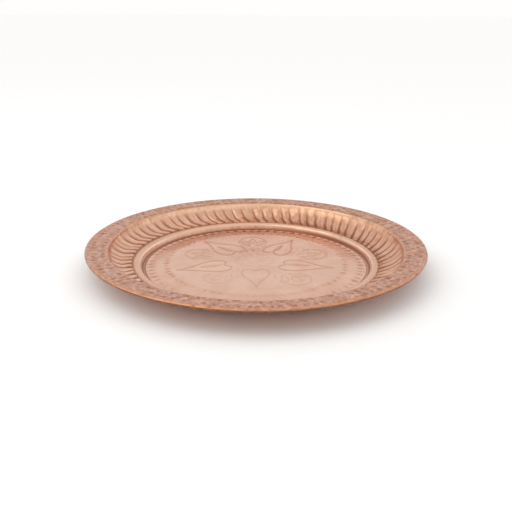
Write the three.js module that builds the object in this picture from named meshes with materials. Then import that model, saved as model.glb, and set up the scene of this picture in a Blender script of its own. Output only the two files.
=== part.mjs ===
// Hammered copper tray: one dished and fluted copper sheet whose edge is
// rolled over a stiffening wire.  Millimetres, +Z up, base resting on z = 0.
import * as THREE from 'three';

// ---- driving dimensions ------------------------------------------------
const SHEET = 0.7;               // thickness of the copper sheet
const RIM_TOP = 22.9;            // height of the rim's upper face beside the wall
const RIM_TILT = 3.0;            // degrees the rim rises from the wall to its edge
const RIM_INNER_R = 144.9;       // upper end of the wall
const RIM_BEND_R = 1.5;          // bend between the wall and the rim
const EDGE_CENTRE_R = 165.5;     // ring on which the edge wire lies
const EDGE_ROLL_R = 1.5;         // outside radius of the rolled edge
const EDGE_ROLL_TURN = 280;      // degrees the sheet is turned round the wire
const EDGE_ROLL_STEPS = 5;       // facets of the roll, outside
const EDGE_BORE_STEPS = 6;       // facets of the roll, inside
const WIRE_R = 0.5;              // radius of the stiffening wire
const WIRE_GAP_DEG = 0.4;        // gap between the wire's two butted ends
const WIRE_STEPS = 104;          // facets round the wire hoop
const FLUTES = 78;               // lobes round the wall
const FLUTE_HEIGHT = 1.3;        // crest of a lobe above the crease beside it
const SWIRL = 4.9;               // degrees the flutes lean, rim to base
const FLUTE_PHASE = 0.45;        // degrees from -Y to a lobe's crest, at the rim
const FLOOR_R = 89.5;            // the raised floor in the middle of the base
const FLOOR_RISE = 2.0;          // how far it stands above the standing ring
const STANDING_R = [107.5, 113.4]; // inside and outside of the standing ring

const COPPER = 0xb87a5e;
const WIRE_STEEL = 0x8d8a86;

const RIM_SLOPE = Math.tan(THREE.MathUtils.degToRad(RIM_TILT));
const EDGE_TOP = RIM_TOP + (EDGE_CENTRE_R - RIM_INNER_R - RIM_BEND_R) * RIM_SLOPE;
const EDGE_CENTRE_Z = EDGE_TOP - EDGE_ROLL_R;
const ROLL_START_DEG = 90 + RIM_TILT;
const ROLL_END_DEG = ROLL_START_DEG - EDGE_ROLL_TURN;
const EDGE_BORE_R = EDGE_ROLL_R - SHEET;
const SEGMENTS = 2 * FLUTES;

// One station of the section: radius, height, how far down the flutes the
// point lies (0 at the rim, 1 at the base) and how strong the lobes are there.
function station(radius, height, down, lobe) {
  return { point: new THREE.Vector2(radius, height), down, lobe };
}

// ---- upper face, from the middle of the base out to the roll ------------
function upperFace() {
  const base = [
    station(0, SHEET + FLOOR_RISE, 1, 0),
    station(FLOOR_R, SHEET + FLOOR_RISE, 1, 0),
    station(STANDING_R[0], SHEET, 1, 0),
    station(STANDING_R[1], SHEET, 1, 0),
  ];
  const moulding = [
    station(113.8, 3.9, 1, 0),
    station(115.2, 5.95, 1, 0),
    station(119.4, 7.0, 1, 0),
    station(122.9, 6.6, 1, 0),
  ];
  const flutedWall = [
    station(125.0, 6.9, 0.96, 0.8),
    station(129.0, 7.7, 0.76, 1),
    station(134.0, 9.2, 0.46, 1),
    station(138.9, 12.3, 0.21, 0.8),
    station(142.2, 15.7, 0.07, 0.45),
  ];
  const rim = [
    station(144.3, 19.4, 0, 0),
    station(RIM_INNER_R, RIM_TOP - RIM_BEND_R, 0, 0),
    station(RIM_INNER_R + RIM_BEND_R, RIM_TOP, 0, 0),
  ];
  return [...base, ...moulding, ...flutedWall, ...rim];
}

// ---- under face: the upper face moved one sheet thickness outwards ------
const LEFT_OUT_BELOW = [4, 6, 13];   // stations the under face can do without

function underFace(upper) {
  const under = [];
  for (let i = 1; i < upper.length; i++) {
    const here = upper[i].point;
    const before = upper[i - 1].point;
    const after = i + 1 < upper.length
      ? upper[i + 1].point
      : new THREE.Vector2(EDGE_CENTRE_R, EDGE_TOP);
    const inward = here.clone().sub(before);
    const outward = after.clone().sub(here);
    const n1 = new THREE.Vector2(inward.y, -inward.x).normalize();
    const n2 = new THREE.Vector2(outward.y, -outward.x).normalize();
    const mean = n1.clone().add(n2).normalize();
    const reach = SHEET / Math.max(0.6, mean.dot(n1));
    const moved = here.clone().addScaledVector(mean, reach);
    moved.y = Math.max(0, moved.y);
    if (!LEFT_OUT_BELOW.includes(i)) {
      under.push(station(moved.x, moved.y, upper[i].down, upper[i].lobe));
    }
  }
  under.push(station(0, FLOOR_RISE, 1, 0));
  return under.sort((a, b) => b.point.x - a.point.x);
}

// ---- the edge turned over the wire --------------------------------------
function arcStations(radius, fromDeg, toDeg, steps) {
  const stations = [];
  for (let i = 0; i <= steps; i++) {
    const angle = THREE.MathUtils.degToRad(fromDeg + (toDeg - fromDeg) * i / steps);
    const x = EDGE_CENTRE_R + radius * Math.cos(angle);
    const y = EDGE_CENTRE_Z + radius * Math.sin(angle);
    stations.push(station(x, y, 0, 0));
  }
  return stations;
}

function traySheet() {
  const upper = upperFace();
  const section = [
    ...upper,
    ...arcStations(EDGE_ROLL_R, ROLL_START_DEG, ROLL_END_DEG, EDGE_ROLL_STEPS),
    ...arcStations(EDGE_BORE_R, ROLL_END_DEG, ROLL_START_DEG, EDGE_BORE_STEPS),
    ...underFace(upper),
  ];
  const outline = section.map((s) => s.point).reverse();
  const stations = section.slice().reverse();
  const geometry = new THREE.LatheGeometry(outline, SEGMENTS);
  pressFlutes(geometry, stations);
  return geometry;
}

// Lift every second column of points into a crest, sink the others into
// creases, and turn each ring so that the lobes lean round the wall.
function pressFlutes(geometry, stations) {
  const position = geometry.attributes.position;
  for (let column = 0; column <= SEGMENTS; column++) {
    const side = column % 2 === 0 ? 0.5 : -0.5;
    for (let row = 0; row < stations.length; row++) {
      const { point, down, lobe } = stations[row];
      const lift = side * FLUTE_HEIGHT * lobe;
      const turn = THREE.MathUtils.degToRad(FLUTE_PHASE - SWIRL * down);
      const angle = 2 * Math.PI * (column % SEGMENTS) / SEGMENTS + turn;
      const radius = point.x - 0.5 * lift;
      const height = point.y + 0.85 * lift;
      const index = column * stations.length + row;
      position.setXYZ(index, radius * Math.sin(angle), height, radius * Math.cos(angle));
    }
  }
  geometry.computeVertexNormals();
}

// ---- the wire hoop inside the roll --------------------------------------
class Hoop extends THREE.Curve {
  getPoint(t, target = new THREE.Vector3()) {
    const angle = THREE.MathUtils.degToRad(90 + WIRE_GAP_DEG / 2 + (360 - WIRE_GAP_DEG) * t);
    const x = EDGE_CENTRE_R * Math.cos(angle);
    const y = EDGE_CENTRE_R * Math.sin(angle);
    return target.set(x, y, EDGE_CENTRE_Z);
  }
}

function edgeWire() {
  const section = new THREE.Shape();
  section.absarc(0, 0, WIRE_R, 0, 2 * Math.PI, false);
  return new THREE.ExtrudeGeometry(section, {
    steps: WIRE_STEPS,
    curveSegments: 4,
    bevelEnabled: false,
    extrudePath: new Hoop(),
  });
}

// ---- assembly ------------------------------------------------------------
function piece(name, geometry, color, roughness) {
  const material = new THREE.MeshStandardMaterial({ color, metalness: 1, roughness });
  const mesh = new THREE.Mesh(geometry, material);
  mesh.name = name;
  return mesh;
}

const tray = new THREE.Group();
tray.name = 'hammered_copper_tray';

const sheet = piece('tray_sheet', traySheet(), COPPER, 0.4);
sheet.rotation.x = Math.PI / 2;
tray.add(sheet);

tray.add(piece('edge_wire', edgeWire(), WIRE_STEEL, 0.5));

export default tray;
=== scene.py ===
"""Hammered copper tray: one raised, fluted and chased sheet with a wired edge.

The sheet's mesh is made here in millimetres, as rings round the Z axis, and is
handed to Blender in metres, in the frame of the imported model.  Bearings are in
degrees from +X towards +Y, and +Y is the far side of the tray in the photograph.
"""
import math
from collections import namedtuple

import bpy
import numpy as np
from mathutils import Matrix, Vector


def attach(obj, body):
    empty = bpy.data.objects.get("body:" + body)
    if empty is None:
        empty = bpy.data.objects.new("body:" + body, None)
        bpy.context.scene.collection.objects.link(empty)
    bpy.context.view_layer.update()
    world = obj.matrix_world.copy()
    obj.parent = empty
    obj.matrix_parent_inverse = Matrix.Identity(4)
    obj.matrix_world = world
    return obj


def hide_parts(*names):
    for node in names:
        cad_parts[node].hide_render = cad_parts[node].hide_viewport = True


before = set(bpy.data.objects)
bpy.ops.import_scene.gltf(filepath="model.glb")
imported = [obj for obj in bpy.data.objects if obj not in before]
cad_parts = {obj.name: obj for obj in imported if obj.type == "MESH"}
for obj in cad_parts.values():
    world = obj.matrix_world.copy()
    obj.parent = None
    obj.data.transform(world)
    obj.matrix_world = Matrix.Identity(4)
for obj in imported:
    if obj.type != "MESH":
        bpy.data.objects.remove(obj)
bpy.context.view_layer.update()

MM = 0.001
TAU = 2.0 * math.pi

# ---- dimensions of the sheet, in millimetres --------------------------------
SHEET = 0.7
RIM_TOP = 22.9                   # upper face of the rim beside the wall
RIM_START_R = 146.4              # where the bend ends and the rim begins
RIM_TILT = math.radians(3.0)     # the rim rises outwards
FLOOR_TOP = 2.7                  # upper face of the raised middle
EDGE_CENTRE_R = 165.4            # centre of the rolled edge
EDGE_ROLL_R = 1.45               # outside radius of the roll
EDGE_ROLL_TURN = 280.0           # degrees the sheet is turned round the wire
EDGE_SUNK = 0.03                 # keeps the uneven edge inside the CAD part's box
EDGE_TOP = RIM_TOP - EDGE_SUNK + (EDGE_CENTRE_R - RIM_START_R) * math.tan(RIM_TILT)
EDGE_CENTRE_Z = EDGE_TOP - EDGE_ROLL_R
RING_GROOVE_END_R = 114.0        # the groove inside the moulding ends here
MOULDING_TOP_R = 120.0

# The section of the upper face from the middle to the start of the roll.
SECTION = [
    (0.0, FLOOR_TOP), (30.0, FLOOR_TOP), (60.0, FLOOR_TOP), (87.5, FLOOR_TOP),
    (89.5, 2.65), (95.0, 2.0), (101.0, 1.3), (106.5, 0.75),
    (108.0, 0.7), (112.4, 0.7), (113.05, 0.95), (113.5, 2.25),
    (113.95, 3.6), (114.45, 4.9), (115.15, 5.85), (116.6, 6.5),
    (119.4, 7.0), (121.3, 6.95), (122.9, 6.6), (125.0, 6.85),
    (129.0, 7.7), (134.0, 9.2), (138.9, 12.3), (142.2, 15.7),
    (144.0, 19.0), (144.7, 21.2), (145.1, 22.15), (146.0, 22.78),
    (147.6, 22.93), (156.0, 23.36), (EDGE_CENTRE_R - 0.10, EDGE_TOP),
]

# ---- flutes ------------------------------------------------------------------
FLUTES = 78
FLUTE_PITCH = 360.0 / FLUTES
FLUTE_PHASE = 0.135              # bearing of one crease at the flutes' lower end
FLUTE_HEIGHT = 1.5
FLUTE_FOOT_R = 123.6             # where the flutes end, before they vary round the wall
# How far round the creases lie, from their foot: radii and degrees.
SWIRL_AT_R = ((118.0, 123.5, 128.6, 133.8, 138.9, 144.0), (-1.9, 0.0, 1.6, 3.15, 4.1, 5.1))
SWIRL_MIDDLE = 3.15


# ---- small helpers -------------------------------------------------------------
def smoothstep(low, high, x):
    t = np.clip((x - low) / (high - low), 0.0, 1.0)
    return t * t * (3.0 - 2.0 * t)


def bell(x, width):
    """1 where x is 0, falling off on both sides."""
    return np.exp(-(x / width) ** 2)


def wrap_degrees(angle):
    return (angle + 180.0) % 360.0 - 180.0


def wavy(x, y, wavelength, seed, terms=9):
    """Smooth noise of about unit size, made of plane waves of one rough length."""
    waves = np.random.RandomState(seed)
    total = np.zeros_like(x)
    for _ in range(terms):
        heading = waves.uniform(0.0, TAU)
        length = wavelength * waves.uniform(0.7, 1.5)
        phase = waves.uniform(0.0, TAU)
        along = x * math.cos(heading) + y * math.sin(heading)
        total += np.sin(TAU * along / length + phase)
    return total / math.sqrt(terms)


def spline(points, per_span):
    """A centripetal Catmull-Rom curve through the points."""
    p = np.array(points, float)
    p = np.vstack([2 * p[0] - p[1], p, 2 * p[-1] - p[-2]])
    out = []
    for i in range(1, len(p) - 2):
        p0, p1, p2, p3 = p[i - 1], p[i], p[i + 1], p[i + 2]
        t1 = np.linalg.norm(p1 - p0) ** 0.5
        t2 = t1 + np.linalg.norm(p2 - p1) ** 0.5
        t3 = t2 + np.linalg.norm(p3 - p2) ** 0.5
        t = np.linspace(t1, t2, per_span, endpoint=False)[:, None]
        a1 = (t1 - t) / t1 * p0 + t / t1 * p1
        a2 = (t2 - t) / (t2 - t1) * p1 + (t - t1) / (t2 - t1) * p2
        a3 = (t3 - t) / (t3 - t2) * p2 + (t - t2) / (t3 - t2) * p3
        b1 = (t2 - t) / t2 * a1 + t / t2 * a2
        b2 = (t3 - t) / (t3 - t1) * a2 + (t - t1) / (t3 - t1) * a3
        out.append((t2 - t) / (t2 - t1) * b1 + (t - t1) / (t2 - t1) * b2)
    out.append(p[-2:-1])
    return np.vstack(out)


# ---- the section as a curve with a normal --------------------------------------
SECTION_SPAN_STEPS = 24
ROLL_STEP = 5.0                  # degrees


def upper_section():
    """The section with its roll, and the length along it at each point."""
    flat = spline(SECTION, SECTION_SPAN_STEPS)
    start = 90.0 + math.degrees(RIM_TILT)
    angles = np.radians(np.arange(start, start - EDGE_ROLL_TURN - 0.5, -ROLL_STEP))[1:]
    roll = np.stack([
        EDGE_CENTRE_R + EDGE_ROLL_R * np.cos(angles),
        EDGE_CENTRE_Z + EDGE_ROLL_R * np.sin(angles),
    ], 1)
    curve = np.vstack([flat, roll])
    length = np.r_[0.0, np.cumsum(np.linalg.norm(np.diff(curve, axis=0), axis=1))]
    return curve, length


CURVE, LENGTH = upper_section()
ROLL_START = LENGTH[-1] - math.radians(EDGE_ROLL_TURN) * EDGE_ROLL_R


def at_length(s):
    """Radius, height and the upward normal at each distance along the section."""
    def place(q):
        return np.interp(q, LENGTH, CURVE[:, 0]), np.interp(q, LENGTH, CURVE[:, 1])
    beside = 0.25
    r, z = place(s)
    r1, z1 = place(np.clip(s - beside, 0.0, LENGTH[-1]))
    r2, z2 = place(np.clip(s + beside, 0.0, LENGTH[-1]))
    dr, dz = r2 - r1, z2 - z1
    size = np.hypot(dr, dz)
    return r, z, -dz / size, dr / size


def stations(steps):
    """Distances along the section, with the step given for each stretch."""
    s = [0.0]
    while s[-1] < LENGTH[-1]:
        step = next(size for end, size in steps if s[-1] < end)
        s.append(s[-1] + step)
    s = np.array(s)
    return s * LENGTH[-1] / s[-1]


# ---- where a point lies --------------------------------------------------------
class Places:
    """Coordinates of a face's points, and masks from 0 to 1 for parts of the tray."""

    def __init__(self, s, r, z, phi):
        self.r, self.z, self.phi = r, z, phi
        self.x = r * np.cos(np.radians(phi))
        self.y = r * np.sin(np.radians(phi))
        self.foot = foot_radius(phi)
        self.on_sheet = smoothstep(ROLL_START - 0.2, ROLL_START - 3.0, s)
        self.before_roll = s < ROLL_START - 0.5
        self.rim = smoothstep(145.4, 146.6, r) * (z > 20.0)
        self.floor = smoothstep(108.0, 100.0, r)
        self.wall = smoothstep(113.5, 115.0, r) * (1.0 - self.rim)
        self.back = self.towards(92.0, 62.0)
        self.right = self.towards(40.0, 52.0)
        self.left_wall = self.towards(120.0, 75.0)

    def towards(self, bearing, spread):
        return bell(wrap_degrees(self.phi - bearing), spread)

    def ring(self, radius, width):
        return bell(self.r - radius, width)

    def past_foot(self, distance, width):
        return bell(self.r - self.foot - distance, width)

    def waves(self, wavelength, seed):
        return wavy(self.x, self.y, wavelength, seed)

    def blows(self, size, seed, offset=(0.0, 0.0)):
        return hammered(self.x + offset[0], self.y + offset[1], size, seed)


# ---- rings of punched marks ------------------------------------------------------
# Radius, count, half length, half width, bearing of the first, share left out,
# depth, and height of the raised lip.
MarkRing = namedtuple("MarkRing", "radius count long wide first skip depth raised")
LONG_MARKS = MarkRing(104.9, 72, 3.7, 1.75, 2.6, 0.00, 0.66, 0.16)
MARK_RINGS = (
    LONG_MARKS,
    MarkRing(89.6, 72, 2.6, 1.25, 4.7, 0.02, 0.52, 0.14),
    MarkRing(149.6, 112, 2.6, 1.70, 1.5, 0.12, 0.44, 0.10),
    MarkRing(154.8, 96, 2.4, 1.20, 3.0, 0.45, 0.20, 0.06),
    MarkRing(159.8, 112, 2.6, 1.60, 1.4, 0.16, 0.42, 0.10),
)
# Shallow marks between the two rings of the floor, fading away from the back; their darkness is
# painted shade between the strokes.
WEDGE_MARKS = MarkRing(97.0, 72, 2.7, 1.9, 4.7, 0.2, 0.22, 0.0)
MARK_SEED, WEDGE_SEED = 21, 31
MARK_REACH = 7.0                 # no mark reaches further from its ring


def punched_ring(r, phi, ring, seed):
    """Depth from 0 to 1 of a ring of hand-set oval marks, and their raised lips."""
    count, first = ring.count, ring.first
    marks = np.random.RandomState(seed)
    turn = marks.uniform(-0.3, 0.3, count)
    shift = marks.normal(0.0, 0.35, count)
    depth = marks.uniform(0.4, 1.0, count) * (marks.uniform(0, 1, count) > ring.skip)
    tilt = np.radians(marks.normal(0.0, 9.0, count))
    size = marks.uniform(0.8, 1.2, count)
    best = np.zeros_like(r)
    lips = np.zeros_like(r)
    slot = (phi - first) / 360.0 * count
    for side in (-1, 0, 1):
        k = (np.round(slot) + side).astype(int) % count
        centre = first + (np.round(slot) + side + 0.5 * turn[k]) * 360.0 / count
        across = np.radians(wrap_degrees(phi - centre)) * r
        along = r - ring.radius - shift[k]
        c, s = np.cos(tilt[k]), np.sin(tilt[k])
        u = (along * c + across * s) / (ring.long * size[k])
        v = (-along * s + across * c) / (ring.wide * size[k])
        q = u * u + v * v
        best = np.maximum(best, depth[k] * np.exp(-q ** 1.4))
        lips = np.maximum(lips, depth[k] * np.exp(-((np.sqrt(q) - 1.35) / 0.35) ** 2))
    return best, lips


def punched_marks(at):
    """Depth and raised lips of all the rings of marks, in millimetres."""
    marks = np.zeros_like(at.r)
    lips = np.zeros_like(at.r)
    for seed, ring in enumerate(MARK_RINGS, MARK_SEED):
        near = (np.abs(at.r - ring.radius) < MARK_REACH) & at.before_roll
        hole, lip = punched_ring(at.r[near], at.phi[near], ring, seed)
        marks[near] = np.maximum(marks[near], hole * ring.depth)
        lips[near] = np.maximum(lips[near], lip * ring.raised)
    return marks, lips


def wedge_marks(at):
    wedge, _ = punched_ring(at.r, at.phi, WEDGE_MARKS, WEDGE_SEED)
    return wedge * at.back * at.back


# ---- chased flower on the floor ----------------------------------------------------
FLOWER_CENTRE = (-1.2, 1.6)
FLOWER_R = 86.0                  # no line of the flower lies further out
FLOWER_SPAN_STEPS = 7
LINE_HALF_WIDTH = 1.15
LINE_DEPTH = 0.34
BURR_HEIGHT = 0.10


def placed(points, bearing, scale=1.0, flip=1.0, bend=0.0):
    """Local (outwards, sideways) points turned to a bearing round the flower.

    bend turns the inner end of the shape further, so that it curves.
    """
    p = np.array(points, float) * scale
    a = np.radians(bearing + bend * (1.0 - p[:, 0] / p[:, 0].max()))
    x = FLOWER_CENTRE[0] + p[:, 0] * np.cos(a) - flip * p[:, 1] * np.sin(a)
    y = FLOWER_CENTRE[1] + p[:, 0] * np.sin(a) + flip * p[:, 1] * np.cos(a)
    return np.stack([x, y], 1)


def curve_points(points):
    return spline(points, FLOWER_SPAN_STEPS)


def arc_points(radius, start, end, outwards=0.0, steps=28):
    a = np.radians(np.linspace(start, end, steps))
    return np.stack([outwards + radius * np.cos(a), radius * np.sin(a)], 1)


# Petals: bearing, reach in millimetres, turn of the inner end, strength of the
# chased line and strength of the midrib.
PETALS = (
    (271.5, 71.0, 0.0, 0.50, 0.0),
    (345.8, 80.0, -10.0, 0.70, 0.55),
    (58.2, 78.5, -8.0, 1.0, 1.0),
    (133.2, 81.5, -7.0, 0.90, 0.80),
    (200.7, 81.0, 6.0, 0.70, 0.50),
)
# Buds between the petals: bearing, reach and strength of line.
BUDS = (
    (18.5, 78.0, 0.65), (92.5, 75.0, 0.75), (162.0, 75.0, 0.60),
    (235.0, 74.0, 0.28), (307.5, 79.0, 0.45),
)
# Half outlines, (outwards, sideways), drawn at these reaches.
PETAL_REACH = 80.0
PETAL = ((PETAL_REACH, 0), (70, 2.6), (60, 7.4), (49, 13.0),
         (39, 15.0), (31, 12.4), (28.5, 7.0), (32.5, 0.4))
MIDRIB = ((56, 0), (50, 1.1), (42, 1.5), (35, 0))
BUD_REACH = 76.5
HOOD = ((57, 14.4), (62, 15.2), (68, 13.0), (73, 9.0), (75.7, 4.6), (BUD_REACH, 0))
LEAFLET = ((47, 3.4), (51, 8.2), (56.5, 11.6), (63, 12.4), (60.5, 8.0), (56, 4.8), (50, 3.2))
TIP_LEAF = ((56, 0), (60.5, 3.6), (65.5, 2.8), (70.5, 0))
FRILL = ((43, 9.0), (47.0, 12.6), (51.5, 13.8))
BUD_SHAPES = ((HOOD, 1.0), (LEAFLET, 0.85), (TIP_LEAF, 0.85), (FRILL, 0.6))
SCALLOPS = 10                    # faint arcs round the flower's eye


def flower_lines():
    """Every chased line of the flower, as (points, strength) pairs."""
    lines = []
    petal, midrib = curve_points(PETAL), curve_points(MIDRIB)
    for bearing, reach, bend, strength, rib in PETALS:
        for flip in (1.0, -1.0):
            lines.append((placed(petal, bearing, reach / PETAL_REACH, flip, bend), strength))
            if rib:
                lines.append((placed(midrib, bearing, reach / PETAL_REACH, flip, bend), rib))
    bud = [(curve_points(shape), share) for shape, share in BUD_SHAPES]
    for bearing, reach, strength in BUDS:
        for flip in (1.0, -1.0):
            for shape, share in bud:
                lines.append((placed(shape, bearing, reach / BUD_REACH, flip), strength * share))
    scallop = arc_points(5.6, -75, 75, outwards=14.0)
    for k in range(SCALLOPS):
        lines.append((placed(scallop, (k + 0.5) * 360.0 / SCALLOPS), 0.22))
    lines.append((placed(arc_points(7.6, 0, 360), 0), 0.18))
    return lines


def distance_to(line, x, y):
    """Distance of each point to a line of short straight pieces."""
    best = np.full(x.shape, np.inf)
    for a, b in zip(line[:-1], line[1:]):
        d = b - a
        t = np.clip(((x - a[0]) * d[0] + (y - a[1]) * d[1]) / (d @ d + 1e-9), 0, 1)
        best = np.minimum(best, np.hypot(x - a[0] - t * d[0], y - a[1] - t * d[1]))
    return best


def chased_flower(x, y):
    """How deep in a chased line each point lies, and how high on its burr, 0 to 1."""
    cut = np.zeros(x.shape)
    burr = np.zeros(x.shape)
    margin = 4.0
    for line, strength in flower_lines():
        low, high = line.min(0) - margin, line.max(0) + margin
        near = (x > low[0]) & (x < high[0]) & (y > low[1]) & (y < high[1])
        away = distance_to(line, x[near], y[near]) / LINE_HALF_WIDTH
        cut[near] = np.maximum(cut[near], strength * bell(away, 0.8))
        burr[near] = np.maximum(burr[near], strength * bell(away - 1.8, 0.6))
    return cut, burr


# ---- the flutes ----------------------------------------------------------------------
# One draw for each flute: how unevenly they were struck.
CREASE_STRAY = np.random.RandomState(11).uniform(-0.13, 0.13, FLUTES)
LOBE_SIZE = np.random.RandomState(12).uniform(0.72, 1.15, FLUTES)
LOBE_CREST = np.random.RandomState(13).uniform(-0.16, 0.16, FLUTES)
SECOND_LINE = np.random.RandomState(14).uniform(0, 1, FLUTES)
TOP_REACH = np.random.RandomState(15).uniform(-1.2, 1.4, FLUTES)


def unswirled(r, phi):
    """Bearing of each point once the lean of the flutes is taken out of it.

    The lean is uneven: the flutes stand straighter at the back.
    """
    turn = np.interp(r, *SWIRL_AT_R)
    lean = 1.0 - 0.30 * bell(wrap_degrees(phi - 88.0), 26.0)
    lean = lean + 0.15 * bell(wrap_degrees(phi - 20.0), 32.0)
    return phi - SWIRL_MIDDLE - (turn - SWIRL_MIDDLE) * lean - FLUTE_PHASE


def foot_radius(phi):
    """Where the flutes end: they run further down on the right."""
    right = bell(wrap_degrees(phi - 28.0), 52.0)
    left = bell(wrap_degrees(phi - 205.0), 26.0)
    return FLUTE_FOOT_R - 2.6 * right - 1.3 * left


def flute_place(r, phi):
    """Number of the lobe at each point, and how far across it the point lies."""
    u = unswirled(r, phi) / FLUTE_PITCH % FLUTES
    index = np.arange(-1, FLUTES + 2)
    crease = index + CREASE_STRAY[index % FLUTES]
    v = np.interp(u, crease, index.astype(float))
    lobe = np.floor(v).astype(int) % FLUTES
    return lobe, v - np.floor(v)


def fluted_wall(r, z, phi):
    """Lift of the lobes; darkness from patina and painted shade in the creases and a painted
    shadow round each toe; and how near a crest each point is.
    """
    lobe, part = flute_place(r, phi)
    crest = 0.5 + LOBE_CREST[lobe]
    # x is 0 on the lobe's crest and 1 in the creases on both sides of it.
    x = np.where(part < crest, (crest - part) / crest, (part - crest) / (1.0 - crest))
    up_wall = smoothstep(20.3 + TOP_REACH[lobe], 11.5, z)
    swell = FLUTE_HEIGHT * LOBE_SIZE[lobe] * (0.16 * smoothstep(21.5, 18.5, z) + 0.84 * up_wall)

    # Each lobe ends in a rounded toe, which stands back beside the creases.
    end = foot_radius(phi)
    foot = end + 2.4 * x * x
    toe = np.clip((r - foot) / 2.3, 0.0, 1.0)
    toe = np.sqrt(1.0 - (1.0 - toe) ** 2)
    body = 1.0 - x ** 2.2
    sunk = 0.42 * smoothstep(end - 1.2, end + 1.4, r)
    lift = swell * (body * toe - sunk)

    # Half of the lobes have a second, shallow line along them.
    second = (SECOND_LINE[lobe] < 0.5) * bell(part - 0.36 - 0.5 * SECOND_LINE[lobe], 0.055)
    second = second * up_wall * smoothstep(125.5, 129.0, r) * smoothstep(18.0, 13.0, z)
    lift = lift - 0.20 * second

    # The valley at the foot, and the creases' tails that run out across it.
    lift = lift - 0.32 * bell(r - end + 0.5, 0.75)
    tail = x ** 5 * smoothstep(end - 3.6, end + 0.6, r) * smoothstep(end + 4.0, end + 1.0, r)
    lift = lift - 0.35 * tail

    # Patina and painted shade darken the creases and their tails, and a painted shadow line runs
    # round each toe.
    inside = smoothstep(end - 1.4, end + 0.6, r) * smoothstep(21.0, 18.6, z)
    low = smoothstep(133.0, 124.0, r)
    shadow = smoothstep(0.60 - 0.22 * low, 0.96 - 0.10 * low, x) * (0.80 + 0.20 * low)
    crease = np.maximum(shadow * up_wall, 0.5 * second) * inside
    toe_shadow = bell(r - foot + 0.25, 0.75) * smoothstep(end - 1.6, end - 0.6, r)
    crease = np.maximum(np.maximum(crease, 0.85 * toe_shadow), 0.8 * tail)
    return lift * (r > 117.0) * (z < 22.0), crease, body * toe * inside


# ---- relief and channels of the two faces ------------------------------------------------
# Channels are vertex attributes, from 0 to 1, that the copper material reads.
HAMMER_CELLS = 64                # the pattern of hammer blows repeats after so many
FACET_HEIGHT = 0.45              # of the standing ring's inner edge
UNDERSIDE_BLOWS = 0.10

# Tarnished patches of the floor: x, y, radius and strength.
FLOOR_PATCHES = ((-8.0, 27.0, 24.0, 0.60), (38.0, 34.0, 17.0, 0.35), (78.0, 30.0, 26.0, 0.35))


def hammered(x, y, size, seed):
    """Shallow overlapping hammer blows: distance to the nearest of jittered cells."""
    draw = np.random.RandomState(seed)
    jitter = draw.uniform(-0.42, 0.42, (2, HAMMER_CELLS, HAMMER_CELLS))
    weight = draw.uniform(0.0, 0.55, (HAMMER_CELLS, HAMMER_CELLS))
    gx, gy = x / size, y / size
    best = np.full(x.shape, np.inf)
    for ox in (-1, 0, 1):
        for oy in (-1, 0, 1):
            ix = np.floor(gx).astype(int) + ox
            iy = np.floor(gy).astype(int) + oy
            cell = ix % HAMMER_CELLS, iy % HAMMER_CELLS
            dx = gx - ix - 0.5 - jitter[0][cell]
            dy = gy - iy - 0.5 - jitter[1][cell]
            best = np.minimum(best, dx ** 2 + dy ** 2 + weight[cell] * 0.4)
    return np.sqrt(best)


def shared_relief(at):
    """What both faces feel: the flutes and the unevenness of hand work."""
    lift, crease, crest = (
        np.where(at.before_roll, field, 0.0) for field in fluted_wall(at.r, at.z, at.phi)
    )
    lift = lift + at.on_sheet * (
        0.10 * at.floor * at.waves(46.0, 3)
        + 0.05 * at.wall * at.waves(13.0, 4)
        + 0.10 * at.rim * at.waves(24.0, 5)
        + 0.08 * at.rim * at.waves(8.0, 8)
    )
    lift = lift - 0.10 * (1.0 - at.on_sheet) * (0.5 + 0.25 * at.waves(9.0, 6))
    return lift, crease, crest


def lower_face(at):
    """The underside: hammered all over, never polished, grimy where it stands."""
    lift, crease, crest = shared_relief(at)
    lift = lift + at.on_sheet * (at.r < 145.0) * UNDERSIDE_BLOWS * (at.blows(9.0, 44) - 0.5)
    dull = np.clip(0.30 + 0.16 * at.waves(38.0, 61) + 0.10 * at.waves(11.0, 62), 0.0, 0.8)
    return lift, {
        "dark": np.maximum(crease * 0.6, 0.5 * at.ring(RING_GROOVE_END_R, 2.0)),
        "crest": crest,
        "chased": np.zeros_like(at.r),
        "tarnish_and_shade": dull,
    }


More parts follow.
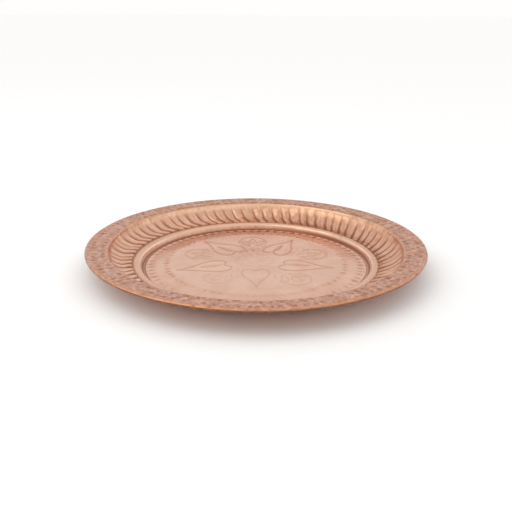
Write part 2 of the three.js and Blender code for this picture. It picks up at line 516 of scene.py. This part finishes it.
def upper_face(at):
    """The face that shows: punched, chased, hammered, tarnished by place, and darkened in places
    with painted shade.
    """
    lift, crease, crest = shared_relief(at)
    marks, lips = punched_marks(at)
    wedge = wedge_marks(at) * at.before_roll
    lift = lift - marks + lips
    lift = lift - WEDGE_MARKS.depth * wedge

    # The standing ring's inner edge rises in small facets between the long marks.
    from_first = at.phi - LONG_MARKS.first - 180.0 / LONG_MARKS.count
    facets = 0.5 + 0.5 * np.cos(np.radians(from_first) * LONG_MARKS.count)
    band = smoothstep(106.6, 109.2, at.r) * smoothstep(110.4, 109.4, at.r)
    lift = lift + FACET_HEIGHT * facets * band

    # Two lines chased round the standing ring, with a bead between them.
    outer_line = 0.30 * at.ring(112.7, 0.95) * smoothstep(2.0, 0.9, at.z)
    ring_lines = (0.34 - 0.20 * at.right) * at.ring(110.7, 0.6) + outer_line
    bead = 0.26 * at.ring(111.8, 0.6)
    in_groove = at.r < RING_GROOVE_END_R
    lift = lift + (bead - ring_lines) * in_groove
    beside_roll = at.ring(163.6, 0.6) * at.before_roll * (0.7 + 0.3 * at.waves(31.0, 7))
    lift = lift - 0.16 * beside_roll

    # Mottled hammering: strong on the rim, faint on the floor.
    blow = at.blows(5.2, 41)
    small = at.blows(2.9, 42, offset=(31.0, -17.0))
    lift = lift + at.on_sheet * at.rim * (0.26 * (blow - 0.8) + 0.12 * (small - 0.8) - 0.08)
    lift = lift + at.on_sheet * at.floor * 0.025 * (at.blows(7.5, 43) - 0.5)

    chased = np.zeros_like(at.r)
    near = at.r < FLOWER_R
    chased[near], burr = chased_flower(at.x[near], at.y[near])
    lift[near] += BURR_HEIGHT * burr - LINE_DEPTH * chased[near]

    # Darkness: grime in the marks, chased lines and creases, with painted shade in the creases,
    # round the flutes' toes, in the wedges at the back and in the shaded places.
    grime = (
        crease * (1.0 - 0.15 * at.left_wall),
        marks * mark_shade(at),
        0.65 * wedge,
        ring_lines * 3.3 * in_groove,
        0.60 * beside_roll,
        *shaded_places(at),
    )
    return lift, {
        "dark": np.clip(np.maximum.reduce(grime), 0, 1),
        "crest": crest,
        "chased": chased,
        "tarnish_and_shade": tarnish_and_shade_of(at),
    }


def mark_shade(at):
    """How dark a punched mark is for its depth: darkest at the back and on the rim."""
    on_floor = at.r < MOULDING_TOP_R
    shade = np.where(at.r < WEDGE_MARKS.radius, 1.0 + 0.9 * at.back,
                     np.where(on_floor, 0.95 + 1.4 * at.back, 2.0))
    return shade * np.where(on_floor, 1.0 - 0.60 * at.towards(-90.0, 55.0), 1.0)


def shaded_places(at):
    """Painted shade with no relief of its own: the moulding's inner foot on the right, the flutes'
    foot at the right back (partly patina there too), and the rim's inner edge at the back.
    """
    flute_foot = at.towards(62.0, 34.0) * at.past_foot(1.8, 2.8)
    return (
        0.80 * at.right * at.ring(113.2, 0.7),
        0.75 * flute_foot * np.clip(0.75 + 0.35 * at.waves(8.0, 55), 0, 1),
        0.50 * at.back * at.rim * at.ring(147.4, 1.7),
    )


def tarnish_and_shade_of(at):
    """Tarnish of the upper face, unevenly laid on wherever polishing missed, with painted shade on
    the moulding and the floor's rings at the back.
    """
    back, right, rim = at.back, at.right, at.rim
    on_rim_rings = at.ring(149.8, 2.8) + at.ring(160.0, 2.6)
    left = at.towards(185.0, 60.0)
    patchy = np.clip(0.45 + 0.45 * at.waves(9.0, 53), 0.0, 1.2)
    worn_rim = 0.30 * on_rim_rings + (0.95 - 0.45 * left) * patchy + 0.22 * back * (1.0 - left)
    mottled = np.clip(at.waves(8.0, 54), 0.0, 1.0)
    wall_top = (1.0 - at.towards(92.0, 50.0)) * at.ring(144.6, 3.4) * (1.0 - rim)
    layers = [
        # The valley at the flutes' foot, and the moulding beside it, whose lower slope and top are
        # darkened at the back as painted shade.
        (0.25 + 1.3 * right) * at.past_foot(1.6, 4.4) * (at.r > 116.0),
        0.90 * at.left_wall * at.past_foot(0.4, 1.5),
        0.55 * back * at.ring(113.6, 0.8),
        0.70 * back * at.ring(119.8, 2.6),
        0.55 * right * mottled * at.ring(118.5, 5.0),
        # The two rings of marks on the floor, darker at the back as painted shade, the rim and the
        # top of the wall.
        (0.12 + 0.33 * back) * at.ring(104.6, 3.8),
        (0.25 + 0.30 * back) * at.ring(89.6, 2.6),
        rim * (worn_rim + back * at.ring(146.8, 2.2)),
        0.75 * wall_top,
    ]
    for x, y, radius, strength in FLOOR_PATCHES:
        layers.append(strength * bell(np.hypot(at.x - x, at.y - y), radius))
    uneven = 0.5 + 0.25 * at.waves(7.0, 51) + 0.2 * at.waves(23.0, 52)
    return np.clip(np.maximum.reduce(layers) * uneven * 1.5, 0, 1)


# ---- the mesh --------------------------------------------------------------------------
TOP_COLUMNS = 16 * FLUTES
LOW_COLUMNS = 8 * FLUTES
# Inside each of these radii the rings have half as many points.  On the underside the
# last step is from 39 points to 19, which leaves one small triangle open at the middle.
HALVING_RADII = (74.0, 37.0, 18.0, 9.0, 4.5)
# Distance between rings, up to each length along the section.
TOP_STEPS = ((12.0, 1.1), (92.0, 0.64), (ROLL_START - 22.0, 0.62), (math.inf, 0.72))
LOW_STEPS = ((85.0, 1.9), (ROLL_START - 20.0, 1.15), (ROLL_START, 1.5), (math.inf, 0.9))


def columns_at(r, most):
    """How many points a ring of that radius has: it halves towards the middle."""
    n = most
    for limit in HALVING_RADII:
        if r < limit:
            n //= 2
    return n


def stitch(inner, n_inner, outer, n_outer):
    """Faces between two rings with equal counts, or one with half the other's.

    If the larger count is odd, a triangle stays open beside its last point.
    """
    if n_inner == n_outer:
        j = np.arange(n_inner)
        k = (j + 1) % n_inner
        return np.stack([inner + j, outer + j, outer + k, inner + k], 1), None
    if n_inner < n_outer:
        j = np.arange(n_inner)
        k = (j + 1) % n_inner
        a, b, c = outer + 2 * j, outer + 2 * j + 1, outer + (2 * j + 2) % n_outer
        quads = np.stack([inner + j, b, c, inner + k], 1)
        tris = np.stack([inner + j, a, b], 1)
        return quads, tris
    j = np.arange(n_outer)
    k = (j + 1) % n_outer
    a, b, c = inner + 2 * j, inner + 2 * j + 1, inner + (2 * j + 2) % n_inner
    quads = np.stack([b, outer + j, outer + k, c], 1)
    tris = np.stack([a, outer + j, b], 1)
    return quads, tris


def face_points(s, most, relief, below):
    """Points and channels of one face, ring by ring, from the middle outwards.

    below is how far under the section's curve the face lies.
    """
    r0, z0, normal_r, normal_z = at_length(s)
    counts = [1 if value < 0.05 else columns_at(value, most) for value in r0]
    starts = np.r_[0, np.cumsum(counts)]
    ring = np.repeat(np.arange(len(s)), counts)
    place = np.arange(starts[-1]) - starts[ring]
    phi = 360.0 * place / np.array(counts)[ring]
    r, z = r0[ring], z0[ring]
    lift, channels = relief(Places(s[ring], r, z, phi))
    radius = r + normal_r[ring] * (lift - below)
    height = np.clip(z + normal_z[ring] * (lift - below), 0.0, EDGE_TOP)
    x = radius * np.cos(np.radians(phi))
    y = radius * np.sin(np.radians(phi))
    # Points on one line down a flute have the same course.
    course = np.radians(unswirled(r, phi))
    channels["course_x"], channels["course_y"] = np.cos(course), np.sin(course)
    return np.stack([x, y, height], 1), counts, starts, channels


def build_sheet():
    """Points, quads, triangles and channels of the closed sheet."""
    top, top_n, top_at, top_c = face_points(stations(TOP_STEPS), TOP_COLUMNS, upper_face, 0.0)
    low, low_n, low_at, low_c = face_points(stations(LOW_STEPS), LOW_COLUMNS, lower_face, SHEET)
    quads, tris = [], []

    def add(pair, flip=False):
        for faces, store in zip(pair, (quads, tris)):
            if faces is not None:
                store.append(faces[:, ::-1] if flip else faces)

    for at, counts, offset, flip in ((top_at, top_n, 0, False), (low_at, low_n, len(top), True)):
        j = np.arange(counts[1])
        fan = np.stack([np.full_like(j, offset), offset + at[1] + j,
                        offset + at[1] + (j + 1) % counts[1]], 1)
        add((None, fan), flip)
        for i in range(1, len(counts) - 1):
            add(stitch(offset + at[i], counts[i], offset + at[i + 1], counts[i + 1]), flip)

    # The sheet's edge inside the roll: one ring halfway between the two faces.
    last_top = top[top_at[-2]:top_at[-2] + top_n[-1]]
    last_low = np.repeat(low[low_at[-2]:low_at[-2] + low_n[-1]], 2, axis=0)
    middle = 0.5 * (last_top + last_low)
    middle_at = len(top) + len(low)
    add(stitch(int(top_at[-2]), top_n[-1], middle_at, top_n[-1]))
    add(stitch(middle_at, top_n[-1], len(top) + int(low_at[-2]), low_n[-1]))

    points = np.vstack([top, low, middle])
    channels = {}
    for name in top_c:
        channels[name] = np.r_[top_c[name], low_c[name], np.zeros(len(middle))]
    return points, np.vstack(quads), np.vstack(tris), channels


def mesh_object(name, points, quads, tris, channels):
    mesh = bpy.data.meshes.new(name)
    mesh.vertices.add(len(points))
    mesh.vertices.foreach_set("co", (points * MM).astype(np.float32).ravel())
    sizes = np.r_[np.full(len(quads), 4), np.full(len(tris), 3)]
    mesh.loops.add(int(sizes.sum()))
    corners = np.r_[quads.ravel(), tris.ravel()].astype(np.int32)
    mesh.loops.foreach_set("vertex_index", corners)
    mesh.polygons.add(len(sizes))
    starts = np.r_[0, np.cumsum(sizes)[:-1]].astype(np.int32)
    mesh.polygons.foreach_set("loop_start", starts)
    mesh.update(calc_edges=True)
    mesh.validate()
    mesh.polygons.foreach_set("use_smooth", np.ones(len(mesh.polygons), bool))
    for key, values in channels.items():
        layer = mesh.attributes.new(key, "FLOAT", "POINT")
        layer.data.foreach_set("value", values.astype(np.float32))
    obj = bpy.data.objects.new(name, mesh)
    bpy.context.scene.collection.objects.link(obj)
    return obj


# ---- materials ------------------------------------------------------------------------------
class Nodes:
    """A short way to write node trees."""

    def __init__(self, name):
        self.material = bpy.data.materials.new(name)
        self.material.use_nodes = True
        self.tree = self.material.node_tree
        self.tree.nodes.clear()

    def add(self, kind, inputs=None, **settings):
        node = self.tree.nodes.new(kind)
        for key, value in settings.items():
            setattr(node, key, value)
        for key, value in (inputs or {}).items():
            socket = node.inputs[key]
            if isinstance(value, bpy.types.NodeSocket):
                self.tree.links.new(value, socket)
            else:
                socket.default_value = value
        return node

    def math(self, operation, a, b=None, clamp=False):
        inputs = {0: a}
        if b is not None:
            inputs[1] = b
        return self.add("ShaderNodeMath", inputs, operation=operation, use_clamp=clamp).outputs[0]

    def plus(self, a, b, clamp=False):
        return self.math("ADD", a, b, clamp)

    def times(self, first, *others):
        for other in others:
            first = self.math("MULTIPLY", first, other)
        return first

    def ramp(self, value, low, high, out_low=0.0, out_high=1.0):
        node = self.add("ShaderNodeMapRange", {
            "Value": value, "From Min": low, "From Max": high,
            "To Min": out_low, "To Max": out_high,
        }, interpolation_type="SMOOTHSTEP")
        return node.outputs["Result"]

    def band(self, value, start, full, last, end):
        """1 from full to last, falling off to 0 at start and at end."""
        return self.times(self.ramp(value, start, full), self.ramp(value, end, last))

    def mix(self, factor, a, b):
        node = self.add("ShaderNodeMix", data_type="RGBA", blend_type="MIX")
        for key, value in (("Factor", factor), ("A", a), ("B", b)):
            sockets = [s for s in node.inputs if s.name == key]
            socket = sockets[0] if key == "Factor" else [s for s in sockets if s.type == "RGBA"][0]
            if isinstance(value, bpy.types.NodeSocket):
                self.tree.links.new(value, socket)
            else:
                socket.default_value = value
        return [s for s in node.outputs if s.type == "RGBA"][0]

    def lay(self, colour, over, mask, share):
        """A colour with another one laid over it, as strongly as mask times share."""
        return self.mix(self.times(mask, share), colour, over)

    def noise(self, vector, scale, detail=3.0, roughness=0.55, distortion=0.0):
        return self.add("ShaderNodeTexNoise", {
            "Vector": vector, "Scale": scale, "Detail": detail,
            "Roughness": roughness, "Distortion": distortion,
        }).outputs["Fac"]

    def attribute(self, name):
        return self.add("ShaderNodeAttribute", attribute_name=name).outputs["Fac"]

    def millimetres(self):
        where = self.add("ShaderNodeTexCoord").outputs["Object"]
        return self.add("ShaderNodeMapping", {"Vector": where, "Scale": (1000.0,) * 3}).outputs[0]


# Two shades of each ground colour, mixed by a noise.
CLEAN = ((0.725, 0.460, 0.350, 1), (0.660, 0.396, 0.288, 1))
GOLDEN = ((0.690, 0.405, 0.280, 1), (0.590, 0.315, 0.210, 1))
# Painted reflection along the top of the wall.
STRIP_REFLECTION = ((0.875, 0.585, 0.405, 1), (0.775, 0.465, 0.310, 1))
GREYED = ((0.490, 0.265, 0.200, 1), (0.590, 0.315, 0.215, 1))
# Painted reflection on the front of the rolled edge.
BEAD_REFLECTION = ((0.760, 0.370, 0.190, 1), (0.540, 0.230, 0.110, 1))
# Colours laid over the ground.
RIM_PALE = (0.765, 0.505, 0.400, 1)
RIM_DEEP = (0.340, 0.160, 0.110, 1)
STREAK_BROWN = (0.480, 0.240, 0.155, 1)
MOULDING_TAN = (0.620, 0.345, 0.205, 1)
# Painted highlight on the moulding at the back.
RIDGE_HIGHLIGHT = (0.930, 0.620, 0.390, 1)
# Painted highlight on the lobes' crests.
LOBE_HIGHLIGHT = (0.840, 0.540, 0.420, 1)
# Painted shade on the upper wall at the back right.
SHOULDER_SHADE = (0.580, 0.320, 0.185, 1)
# Painted highlight on the moulding's inner slope.
SLOPE_HIGHLIGHT = (0.960, 0.740, 0.610, 1)
# Painted reflection on the rim's inner lip.
LIP_REFLECTION = (0.820, 0.460, 0.230, 1)
# Painted shade on the roll's outer side.
EDGE_SHADE = (0.300, 0.120, 0.075, 1)
# Painted shade under the roll.
ROLL_SHADE = (0.170, 0.070, 0.040, 1)
STAIN = (0.350, 0.170, 0.120, 1)
# Tarnish and painted shade, laid on by the tarnish channel.
TARNISH_AND_SHADE = ((0.480, 0.205, 0.110, 1), (0.300, 0.115, 0.060, 1))
# Grime and painted shade, laid on by the dark channel.
GRIME_AND_SHADE = ((0.500, 0.225, 0.125, 1), (0.210, 0.080, 0.050, 1))
CHASED_LINE = (0.490, 0.200, 0.095, 1)


class CopperFields:
    """Places, channels, masks and noises that the copper's shader is made from."""

    def __init__(self, n):
        self.mm = n.millimetres()
        x, y, self.z = n.add("ShaderNodeSeparateXYZ", {"Vector": self.mm}).outputs
        self.radius = n.math("SQRT", n.plus(n.times(x, x), n.times(y, y)))
        self.to_right = n.math("DIVIDE", x, self.radius)
        self.to_back = n.math("DIVIDE", y, self.radius)
        self.dark = n.attribute("dark")
        self.crest = n.attribute("crest")
        self.chased = n.attribute("chased")
        self.tarnish_and_shade = n.attribute("tarnish_and_shade")
        self.rim = n.times(n.ramp(self.radius, 144.8, 145.8), n.ramp(self.z, 21.4, 22.2))
        self.wall = n.times(n.ramp(self.radius, 121.5, 124.5), n.ramp(self.z, 22.3, 21.6))
        self.patches = n.noise(self.mm, 0.035, 4.0, 0.6, 0.8)
        self.blotch = n.noise(self.mm, 0.16, 5.0, 0.62, 0.5)
        self.mottle = n.noise(self.mm, 0.33, 4.0, 0.66, 0.4)
        self.grain = n.noise(self.mm, 0.9, 4.0, 0.6)
        self.tooth = n.noise(self.mm, 3.2, 3.0, 0.6)
        # Streaks run down the flutes: the noise is stretched along their course.
        course = n.add("ShaderNodeCombineXYZ", {
            "X": n.times(n.attribute("course_x"), 130.0),
            "Y": n.times(n.attribute("course_y"), 130.0),
            "Z": n.times(self.radius, 0.12),
        }).outputs[0]
        self.streak = n.noise(course, 0.55, 4.0, 0.6)


def two_shades(n, noise, low, high, shades):
    return n.mix(n.ramp(noise, low, high), *shades)


def copper_ground(n, at):
    """Clean copper on the floor and the moulding, golden copper on the wall, and a painted
    reflection along the wall's top, strongest at the back.
    """
    # Painted reflection: the top of the wall is lighter, most of all at the back.
    reflection_strip = n.times(at.wall, n.ramp(at.z, 15.5, 19.5), n.ramp(at.to_back, -0.1, 0.7, 0.3, 1.0))
    golden = two_shades(n, at.blotch, 0.35, 0.7, GOLDEN)
    golden = n.mix(n.ramp(at.streak, 0.48, 0.72, 0.0, 0.6), golden, STREAK_BROWN)
    golden = n.mix(reflection_strip, golden, two_shades(n, at.blotch, 0.35, 0.7, STRIP_REFLECTION))
    return n.mix(at.wall, two_shades(n, at.patches, 0.3, 0.7, CLEAN), golden)


def wall_and_moulding(n, at, colour):
    """A tan moulding, with painted highlights on its inner slope and on the lobes' crests, and
    painted shade on the upper wall at the back right.
    """
    moulding = n.band(at.radius, 115.0, 117.0, 121.5, 123.5)
    colour = n.lay(colour, MOULDING_TAN, moulding, 0.40)
    # Painted highlight on the moulding's upper inner slope at the back.
    ridge_highlight = n.times(n.band(at.radius, 114.0, 114.6, 116.6, 118.2), n.ramp(at.to_back, 0.45, 0.80))
    colour = n.lay(colour, RIDGE_HIGHLIGHT, ridge_highlight, 0.35)
    # Painted highlight on the lobes' crests, mostly on the left of the wall.
    right = n.ramp(at.to_right, 0.55, 0.95, 0.0, 0.1)
    side = n.math("MAXIMUM", n.ramp(at.to_right, 0.2, -0.7), right)
    lobe_highlight = n.times(n.ramp(at.crest, 0.55, 0.95), side, at.wall)
    colour = n.lay(colour, LOBE_HIGHLIGHT, lobe_highlight, 0.40)
    # Painted shade on the upper wall at the back right, laid along the streaks.
    shoulder_shade = n.times(
        n.band(at.z, 11.5, 14.5, 19.0, 21.0), n.times(at.wall, n.ramp(at.streak, 0.30, 0.60)),
        n.ramp(at.to_right, -0.30, 0.10), n.ramp(at.to_back, 0.45, 0.85),
    )
    colour = n.lay(colour, SHOULDER_SHADE, shoulder_shade, 0.65)
    # Painted highlight on the moulding's steep inner slope, at the sides and the front.
    slope_highlight = n.times(n.band(at.radius, 112.9, 113.3, 115.0, 115.9), n.ramp(at.to_back, 0.75, 0.30))
    return n.lay(colour, SLOPE_HIGHLIGHT, slope_highlight, 0.70)


def rim_and_edge(n, at, colour):
    """The greyed, mottled rim with a painted reflection on its inner lip at the back, and the
    rolled edge with a painted reflection on its front and painted shade on its outer side and
    underside.
    """
    greyed = two_shades(n, at.blotch, 0.40, 0.60, GREYED)
    greyed = n.mix(n.ramp(at.mottle, 0.52, 0.62, 0.0, 0.80), greyed, RIM_PALE)
    greyed = n.mix(n.ramp(at.mottle, 0.49, 0.38, 0.0, 0.75), greyed, RIM_DEEP)
    colour = n.mix(at.rim, colour, greyed)
    # Painted reflection: an orange band on the rim's inner lip at the back.
    lip = n.times(n.band(at.radius, 144.6, 145.4, 146.4, 147.4), n.ramp(at.to_back, 0.10, 0.50))
    colour = n.lay(colour, LIP_REFLECTION, lip, 0.65)
    front = n.ramp(at.to_back, -0.25, -0.62)
    # Painted reflection: the front of the rolled edge is orange.
    bead = n.times(n.ramp(at.radius, 164.2, 166.6), front)
    colour = n.mix(bead, colour, two_shades(n, at.blotch, 0.35, 0.7, BEAD_REFLECTION))
    # Painted shade along the outer side of the roll, except at the front.
    outer_line = n.times(n.ramp(at.radius, 165.3, 166.4), n.math("SUBTRACT", 1.0, front))
    colour = n.lay(colour, EDGE_SHADE, outer_line, 0.45)
    # Painted shade on the underside of the roll.
    under_shade = n.times(n.ramp(at.radius, 163.0, 164.0), n.ramp(at.z, 23.25, 22.65))
    return n.lay(colour, ROLL_SHADE, under_shade, 0.85)


def patina_and_shade(n, at, colour):
    """Stains, tarnish, grime in the marks and creases, painted shade from the dark and tarnish
    channels, and the chased lines.
    """
    stain = n.ramp(at.grain, 0.52, 0.76, 0.0, 0.5)
    stain = n.times(stain, n.plus(0.22, n.times(at.rim, 0.78)))
    colour = n.mix(stain, colour, STAIN)
    colour = n.lay(colour, TARNISH_AND_SHADE[0], at.tarnish_and_shade, 0.75)
    colour = n.mix(n.ramp(at.tarnish_and_shade, 0.6, 1.1, 0.0, 0.6), colour, TARNISH_AND_SHADE[1])
    colour = n.mix(n.ramp(at.dark, 0.0, 0.55, 0.0, 0.72), colour, GRIME_AND_SHADE[0])
    colour = n.mix(n.ramp(at.dark, 0.25, 1.0, 0.0, 0.85), colour, GRIME_AND_SHADE[1])
    worn = n.times(at.chased, n.ramp(at.blotch, 0.3, 0.6, 0.75, 1.0))
    return n.mix(worn, colour, CHASED_LINE)


def copper_roughness(n, at):
    """Duller where it is stained or mottled, smoother on the flutes' crests."""
    rough = n.plus(0.18, n.times(at.blotch, 0.12))
    rough = n.plus(rough, n.times(at.rim, 0.08))
    rough = n.math("SUBTRACT", rough, n.times(at.crest, 0.03))
    rough = n.plus(rough, n.times(at.dark, 0.18))
    rough = n.plus(rough, n.times(at.tarnish_and_shade, 0.08))
    tooth = n.math("SUBTRACT", at.tooth, 0.5)
    return n.plus(rough, n.times(tooth, 0.10), clamp=True)


def copper_height(n, at):
    """Fine relief, in millimetres: planishing, grain, and streaks down the flutes."""
    cells = n.add("ShaderNodeTexVoronoi", {"Vector": at.mm, "Scale": 0.34, "Smoothness": 0.6},
                  feature="SMOOTH_F1").outputs["Distance"]
    height = n.times(cells, n.plus(0.012, n.times(at.rim, 0.10)))
    height = n.plus(height, n.times(at.grain, 0.055))
    height = n.plus(height, n.times(at.tooth, 0.018))
    height = n.plus(height, n.times(at.streak, at.wall, 0.24))
    return n.math("SUBTRACT", height, n.times(at.chased, 0.10))


def metal(n, colour, rough, height, strength, distance):
    """Ends a material: a metallic shader with the height as its bump."""
    bump = n.add("ShaderNodeBump", {"Strength": strength, "Distance": distance, "Height": height})
    shader = n.add("ShaderNodeBsdfPrincipled", {
        "Base Color": colour, "Metallic": 1.0, "Roughness": rough,
        "Normal": bump.outputs["Normal"],
    })
    n.add("ShaderNodeOutputMaterial", {"Surface": shader.outputs[0]})
    return n.material


def copper_material():
    n = Nodes("hammered_copper")
    at = CopperFields(n)
    colour = copper_ground(n, at)
    colour = wall_and_moulding(n, at, colour)
    colour = rim_and_edge(n, at, colour)
    colour = patina_and_shade(n, at, colour)
    return metal(n, colour, copper_roughness(n, at), copper_height(n, at), 0.55, MM)


def wire_material():
    """Drawn steel wire with grime on it."""
    n = Nodes("drawn_wire")
    mm = n.millimetres()
    grime = n.noise(mm, 0.5, 4.0)
    colour = n.mix(n.ramp(grime, 0.35, 0.7), (0.50, 0.48, 0.46, 1), (0.22, 0.18, 0.15, 1))
    rough = n.ramp(grime, 0.3, 0.7, 0.35, 0.6)
    return metal(n, colour, rough, n.noise(mm, 4.0, 3.0), 0.3, 0.1 * MM)


def floor_material():
    n = Nodes("pale_floor")
    shader = n.add("ShaderNodeBsdfPrincipled", {
        "Base Color": (0.98, 0.978, 0.975, 1), "Roughness": 0.9,
    })
    n.add("ShaderNodeOutputMaterial", {"Surface": shader.outputs[0]})
    return n.material


# ---- pieces -------------------------------------------------------------------------------
sheet = mesh_object("hammered_tray_sheet", *build_sheet())
sheet.data.materials.append(copper_material())
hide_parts("tray_sheet")
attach(sheet, "root")

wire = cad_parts["edge_wire"]
wire.data.materials.clear()
wire.data.materials.append(wire_material())

# ---- stage ----------------------------------------------------------------------------------
FLOOR_WIDTH = 80.0               # metres: so wide that its far edge hardly shows
KEY_PLACE = Vector((-0.75, -0.25, 1.0))
KEY_SIZE = 1.2
KEY_WATTS = 2.8

bpy.ops.mesh.primitive_plane_add(size=FLOOR_WIDTH, location=(0.0, 0.0, 0.0))
ground = bpy.context.object
ground.name = "floor"
ground.data.materials.append(floor_material())

key_light = bpy.data.lights.new("left_key", "AREA")
key_light.shape = "RECTANGLE"
key_light.size = key_light.size_y = KEY_SIZE
key_light.energy = KEY_WATTS
key = bpy.data.objects.new("left_key", key_light)
key.rotation_euler = (-KEY_PLACE).to_track_quat("-Z", "Y").to_euler()
key.location = KEY_PLACE
bpy.context.scene.collection.objects.link(key)

world = bpy.data.worlds.new("studio")
world.use_nodes = True
background = world.node_tree.nodes["Background"]
background.inputs["Color"].default_value = (1.0, 0.99, 0.98, 1)
background.inputs["Strength"].default_value = 1.0
bpy.context.scene.world = world
bpy.context.scene.view_settings.view_transform = "Standard"

# ---- camera --------------------------------------------------------------------------------
CAMERA_DISTANCE = 0.6866
CAMERA_ELEVATION = math.radians(20.15)
CAMERA_ROLL = math.radians(0.35)
AIM = Vector((0.0, 0.0, FLOOR_TOP * MM))
LENS, SENSOR = 47.89, 36.0       # millimetres
SHIFT_UP = 0.0097

camera_data = bpy.data.cameras.new("camera")
camera_data.lens = LENS
camera_data.sensor_width = SENSOR
camera_data.shift_y = SHIFT_UP
camera = bpy.data.objects.new("camera", camera_data)
bpy.context.scene.collection.objects.link(camera)
camera.location = AIM + CAMERA_DISTANCE * Vector(
    (0.0, -math.cos(CAMERA_ELEVATION), math.sin(CAMERA_ELEVATION)))
look = (AIM - camera.location).to_track_quat("-Z", "Y").to_matrix().to_4x4()
camera.rotation_euler = (look @ Matrix.Rotation(CAMERA_ROLL, 4, "Z")).to_euler()
bpy.context.scene.camera = camera
